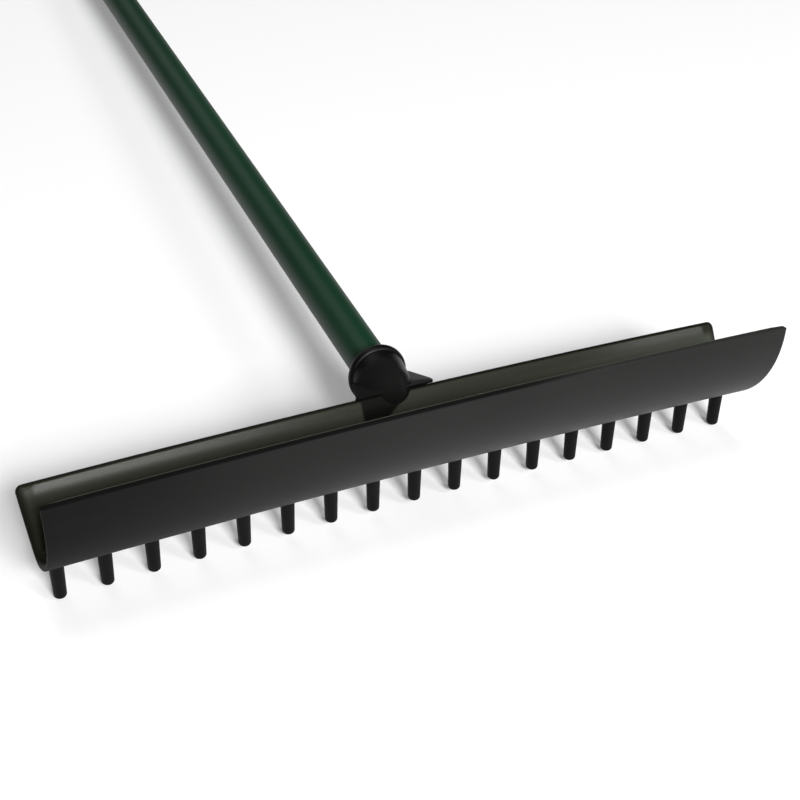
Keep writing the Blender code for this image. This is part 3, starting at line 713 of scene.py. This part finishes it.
def trough_plastic():
    """Charcoal plastic, smooth and olive on the inner back wall, with painted light and shade.

    Painted shade darkens the blade towards the left. The inner wall is smooth along its top and
    rougher where the sand scours it, and a painted sheen lightens a band lower down, the more so
    towards the right. Round the socket's nose, down to a point at the left, it is dull with a
    painted shadow. The strips along the ends and both upper edges are dull with painted shade too,
    the front one only up to the middle, with a painted highlight line along its inner rim; the top
    of its right half is painted lighter.
    """
    made = plastic("charcoal_plastic", 0.46, 0.13)
    x, y, z = made.axes()

    def below(plane):
        """How far down, or how far to the front, a point lies from one of the planes."""
        by_y, by_z, by_crown, place = plane
        return place - (y * by_y + z * by_z + x * x * by_crown)

    wall_depth, lip_depth, lip_width = [
        below(plane) for plane in (WALL_TOP_PLANE, LIP_TOP_PLANE, LIP_BACK_PLANE)]
    inside = y.ramp(*INNER_SIDE)
    outside = 1.0 - inside
    right_half = x.ramp(*LIGHT_LIP)
    scour_and_sheen = wall_depth.ramp(*WALL_SCOUR_AND_SHEEN)

    # Painted highlight: a thin light line along the front lip's inner rim
    lip_rim = (1.0 - lip_depth.ramp(*LIP_BELOW_RIM)) * (1.0 - lip_width.ramp(*LIP_PAST_RIM))
    painted_rim_highlight = outside * lip_rim
    # Painted shade along the top of the front lip's left half and along the inner wall's top edge
    lip_left = (1.0 - lip_depth.ramp(*LIP_BELOW_EDGE)) * (1.0 - right_half)
    painted_lip_shade = outside * lip_left * (1.0 - painted_rim_highlight)
    painted_edge_shade = inside * (1.0 - wall_depth.ramp(*WALL_BELOW_EDGE))
    # Painted shadow on the inner wall round the socket's nose, narrowing down to a point at the left
    past_slant = (x + wall_depth * NOSE_SLANT).ramp(*NOSE_RIGHT)
    painted_nose_shadow = inside * x.ramp(*NOSE_LEFT) * (1.0 - past_slant)
    # Painted shade at both ends of the inner wall
    painted_end_shade = inside * (x * x).ramp(*END_SHADE_STRIPS) * 0.8
    painted_shade = 1.0 - (1.0 - painted_edge_shade - painted_lip_shade) * (1.0 - painted_nose_shadow) * (1.0 - painted_end_shade)

    # Painted shade: the blade's colour darkens towards the left
    rightward = x.ramp(*LIGHT_BLADE)
    blade = made.mix(rightward * 0.75 + made.tone * 0.25, *BLADE_CHARCOALS)
    # Painted light: the top of the front lip's right half is lighter
    painted_lip_light = (1.0 - lip_depth.ramp(*LIP_TOP)) * right_half
    blade = made.mix(painted_lip_light, blade, LIT_LIP_CHARCOAL)
    wall = made.mix(made.tone, *WALL_OLIVES)
    # Painted sheen: a band lower down the inner wall is lighter, the more so to the right, and fades
    # out lower still
    foot = made.mix(x.ramp(*LIGHT_FOOT), *FOOT_SHEEN_OLIVES)
    wall = made.mix(scour_and_sheen * (1.0 - wall_depth.ramp(*WALL_BELOW_FOOT)), wall, foot)
    # The painted shade and shadow turn the colour near black
    colour = made.mix(painted_shade * 0.9, made.mix(inside, blade, wall), SHADE_BLACK)
    made.set("Base Color", made.mix(painted_rim_highlight, colour, RIM_HIGHLIGHT_GREY))

    dull_left = outside * (1.0 - rightward) * 0.30
    dull_right = inside * x.ramp(*DULL_WALL) * (1.0 - x.ramp(*SHINY_WALL)) * 0.16
    smooth_top = inside * (scour_and_sheen * 0.22 - 0.22)
    made.set("Roughness", made.satin + smooth_top + painted_shade * 0.45 + dull_left + dull_right)
    return made.material


def green_paint():
    """Smooth green enamel: a faint orange peel, drawn out along the tube, under a soft gloss."""
    made = Finish("green_paint", {"Specular IOR Level": 0.18})
    broad = made.noise(14.0, place=made.stretched(1.0, 0.25, 1.0))
    peel = made.noise(330.0, place=made.stretched(1.0, 0.35, 1.0))
    made.set("Base Color", made.mix(broad.ramp(0.35, 0.65), *HANDLE_GREENS))
    made.set("Roughness", 0.42 + broad * 0.08)
    made.bump(peel, 0.00006, 0.35)
    return made.material


def screw_plating():
    """Zinc plated steel with a fine turned grain."""
    made = Finish("screw_plating", {"Metallic": 1.0})
    grain = made.noise(900.0, 3.0, 0.6)
    made.set("Base Color", made.mix(grain, *ZINC_GREYS))
    made.set("Roughness", 0.28 + grain * 0.12)
    made.bump(grain, 0.00003, 0.4)
    return made.material


TOOTH_PLASTIC = tooth_plastic()
SOCKET_PLASTIC = socket_plastic()
SCREW_PLATING = screw_plating()


# Pieces

def socket_part(name, points, stands_for=()):
    """A piece of the socket."""
    surface(name, points, SOCKET_PLASTIC, stands_for)


def socket_plate(name, corners, corner, thickness, edge, placed):
    """A flat piece of the socket, with its outline's corners and its edges rounded."""
    socket_part(name, plate_points(rounded(corners, corner), thickness, edge, placed))


def steel_screw(solid, placed, length):
    """The screw that stands for a solid."""
    surface(f"{solid}_skin", screw_points(placed, length), SCREW_PLATING, [solid])


surface("trough_skin", trough_points(), trough_plastic(), ["trough"], capped=True)

for number in range(TOOTH_COUNT):
    upright = upright_at(number * TOOTH_PITCH - LAST_TOOTH)
    peg = turned_points(tooth_profile(), TOOTH_FACETS, upright)
    surface(f"peg_{number + 1:02d}", peg, TOOTH_PLASTIC, [f"tooth_{number + 1:02d}"])

tube = turned_points(tube_profile(), TUBE_FACETS, along_handle)
surface("green_tube", tube, green_paint(), ["handle_tube"], closed_rows=True)
plug = turned_points(cap_profile(), CAP_FACETS, along_handle)
surface("end_plug", plug, TOOTH_PLASTIC, ["handle_end_cap"])

socket_part("socket_body", turned_points(body_profile(), SOCKET_FACETS, leaning), ["socket"])

wing_start = BACK_EDGE + WALL * INWARD + (GAP + WING / 2) * WING_UP
half_wings = [
    (WING_FRONT / 2, -WING_OVERHANG),
    (WING_FRONT / 2, WING_SHOULDER),
    (WING_WAIST / 2, WING_WAIST_PLACE),
    (WING_END / 2, WING_END_PLACE),
]
on_wings = frame_at(wing_start, -WING_SLOPE)
socket_plate("socket_wings", mirrored(half_wings), WINGS_CORNER, WING, RIM, on_wings)

saddle_depth = GAP + SADDLE / 2  # of the saddle's middle, behind the wall
foot_centre = (SADDLE_FOOT / 2 - SADDLE_ROUND, SADDLE_ROUND - SADDLE_LENGTH)
foot = arc(foot_centre, SADDLE_ROUND, math.radians(-90), 0.0, FOOT_STEPS)
shoulder = [(SADDLE_TOP / 2, -SADDLE_SHOULDER), (SADDLE_TOP / 2, SADDLE_RISE)]
half_saddle = [tuple(point) for point in foot] + shoulder
on_saddle = frame_at(BACK_EDGE, BACK_SLOPE, w0=-saddle_depth)
outline = mirrored(half_saddle)
socket_plate("socket_saddle", outline, SADDLE_CORNER, SADDLE, RIM, on_saddle)

# The wedge fills the space between the edge of the wall, the saddle and the wings
seat = BACK_EDGE + GAP * WALL_LINE + np.outer([WALL - RIM, -saddle_depth], INWARD)
roof = wing_start + np.outer((seat - wing_start) @ WING_DOWN, WING_DOWN)
wedge = np.concatenate([seat, roof[::-1]])
socket_plate("socket_wedge", wedge, WEDGE_CORNER, SADDLE_TOP, WEDGE_EDGE, across_middle)

wall_middle = (HANDLE_RADIUS + GAP + SHOULDER_RADIUS) / 2
web = [
    BACK_EDGE + (SADDLE - SADDLE_LENGTH) * WALL_LINE - saddle_depth * INWARD,
    on_axis(KEEL_REACH, wall_middle),
    on_axis(KEEL_REACH),
    BACK_EDGE - SADDLE_SHOULDER * WALL_LINE - saddle_depth * INWARD,
]
socket_plate("socket_keel", web, KEEL_CORNER, KEEL, RIM, across_middle)

pad = [
    (0.0, PAD_ROOT),
    (BOSS_RADIUS, PAD_ROOT),
    (BOSS_RADIUS, HANDLE_SCREW_SEAT - PAD_CHAMFER),
    (BOSS_RADIUS - PAD_CHAMFER, HANDLE_SCREW_SEAT),
    (0.0, HANDLE_SCREW_SEAT),
]
boss = [
    (0.0, -BOSS_DEPTH),
    (BOSS_RADIUS - BOSS_CHAMFER, -BOSS_DEPTH),
    (BOSS_RADIUS, BOSS_CHAMFER - BOSS_DEPTH),
    (BOSS_RADIUS, -saddle_depth),
    (0.0, -saddle_depth),
]
under = frame_at(on_axis(HANDLE_SCREW), SOCKET_TILT + math.pi)
socket_part("socket_pad", turned_points(pad, BOSS_FACETS, turned_on(under)))
seated = frame_at(on_axis(HANDLE_SCREW), SOCKET_TILT + math.pi, w0=HANDLE_SCREW_SEAT + GAP)
steel_screw("handle_screw", seated, HANDLE_SCREW_LENGTH)
for word, side in (("left", -SCREW_SPACING / 2), ("right", SCREW_SPACING / 2)):
    behind = frame_at(BACK_EDGE, BACK_SLOPE, side, -SCREW_DROP)
    socket_part(f"socket_boss_{word}", turned_points(boss, BOSS_FACETS, turned_on(behind)))
    seated = frame_at(BACK_EDGE, BACK_SLOPE, side, -SCREW_DROP, WALL + GAP)
    steel_screw(f"socket_screw_{word}", seated, SCREW_LENGTH)


# Studio

FLOOR_SIZE = 12.0             # from the middle to each side
FLOOR_DROP = 0.0001           # below the ground, so that the teeth stand clear of it
FLOOR_WHITE = (0.80, 0.80, 0.80, 1.0)
FLOOR_GLOW = 0.16
WORLD_LEVEL = 0.05
BLACK, WHITE = (0.0, 0.0, 0.0, 1.0), (1.0, 1.0, 1.0, 1.0)

# The camera's place, turn and lens were worked out from the photo
CAMERA_PLACE = (-0.333152, -1.380898, 0.683356)
CAMERA_TURN = (0.8897184, 0.4056244, -0.1152721, -0.1748783)
CAMERA_SENSOR = 36.0          # millimetres
CAMERA_LENS = 65.2347
CAMERA_CLIP = (0.05, 60.0)


def studio_floor():
    """A wide matt white floor, with a little light of its own for the camera and for gloss."""
    mesh = bpy.data.meshes.new("floor")
    corners = [(-1, -1), (1, -1), (1, 1), (-1, 1)]
    points = [(x * FLOOR_SIZE, y * FLOOR_SIZE, -FLOOR_DROP) for x, y in corners]
    mesh.from_pydata(points, [], [(0, 1, 2, 3)])
    made = Finish("floor_white", {
        "Base Color": FLOOR_WHITE,
        "Roughness": 0.9,
        "Specular IOR Level": 0.0,
        "Emission Strength": FLOOR_GLOW,
    })
    rays = made.new("ShaderNodeLightPath", {}, {})
    seen = made.maths("MAXIMUM", rays.output("Is Camera Ray"), rays.output("Is Glossy Ray"))
    made.set("Emission Color", made.mix(seen, BLACK, WHITE))
    mesh.materials.append(made.material)
    floor = bpy.data.objects.new("floor", mesh)
    bpy.context.scene.collection.objects.link(floor)


def studio_world():
    """White where the camera looks past the floor, and an even soft light elsewhere."""
    world = bpy.data.worlds.new("studio")
    bpy.context.scene.world = world
    made = Tree(world)
    soft = made.nodes["Background"]
    soft.inputs["Color"].default_value = WHITE
    soft.inputs["Strength"].default_value = WORLD_LEVEL
    white = made.new("ShaderNodeBackground", {}, {"Color": WHITE})
    seen = made.new("ShaderNodeLightPath", {}, {}).output("Is Camera Ray")
    even = Value(made, soft.outputs[0])
    blend = made.new("ShaderNodeMixShader", {}, {0: seen, 1: even, 2: white})
    made.links.new(blend.socket, made.nodes["World Output"].inputs["Surface"])


def lamp(name, place, aim, size, power):
    """A soft rectangular lamp of a width and a height, that faces a point."""
    data = bpy.data.lights.new(name, "AREA")
    data.shape = "RECTANGLE"
    data.size, data.size_y = size
    data.energy = power
    made = bpy.data.objects.new(name, data)
    made.location = place
    made.rotation_euler = (Vector(aim) - Vector(place)).to_track_quat("-Z", "Y").to_euler()
    bpy.context.scene.collection.objects.link(made)


studio_floor()
studio_world()
lamp("front", place=(0.12, -4.60, 3.00), aim=(0.0, -0.62, 0.03), size=(1.7, 1.4), power=300.0)
lamp("right", place=(2.85, -3.55, 3.05), aim=(0.0, -0.72, 0.03), size=(1.1, 1.2), power=62.0)
lamp("top", place=(0.05, -0.75, 3.90), aim=(0.0, -0.30, 0.0), size=(1.0, 1.0), power=26.0)
lamp("back", place=(-0.60, 3.60, 3.40), aim=(0.0, 0.0, 0.0), size=(3.0, 3.0), power=42.0)

camera = bpy.data.objects.new("camera", bpy.data.cameras.new("camera"))
camera.data.sensor_width = CAMERA_SENSOR
camera.data.lens = CAMERA_LENS
camera.data.clip_start, camera.data.clip_end = CAMERA_CLIP
camera.location = CAMERA_PLACE
camera.rotation_mode = "QUATERNION"
camera.rotation_quaternion = Quaternion(CAMERA_TURN)
bpy.context.scene.collection.objects.link(camera)
bpy.context.scene.camera = camera
bpy.context.scene.view_settings.view_transform = "Standard"
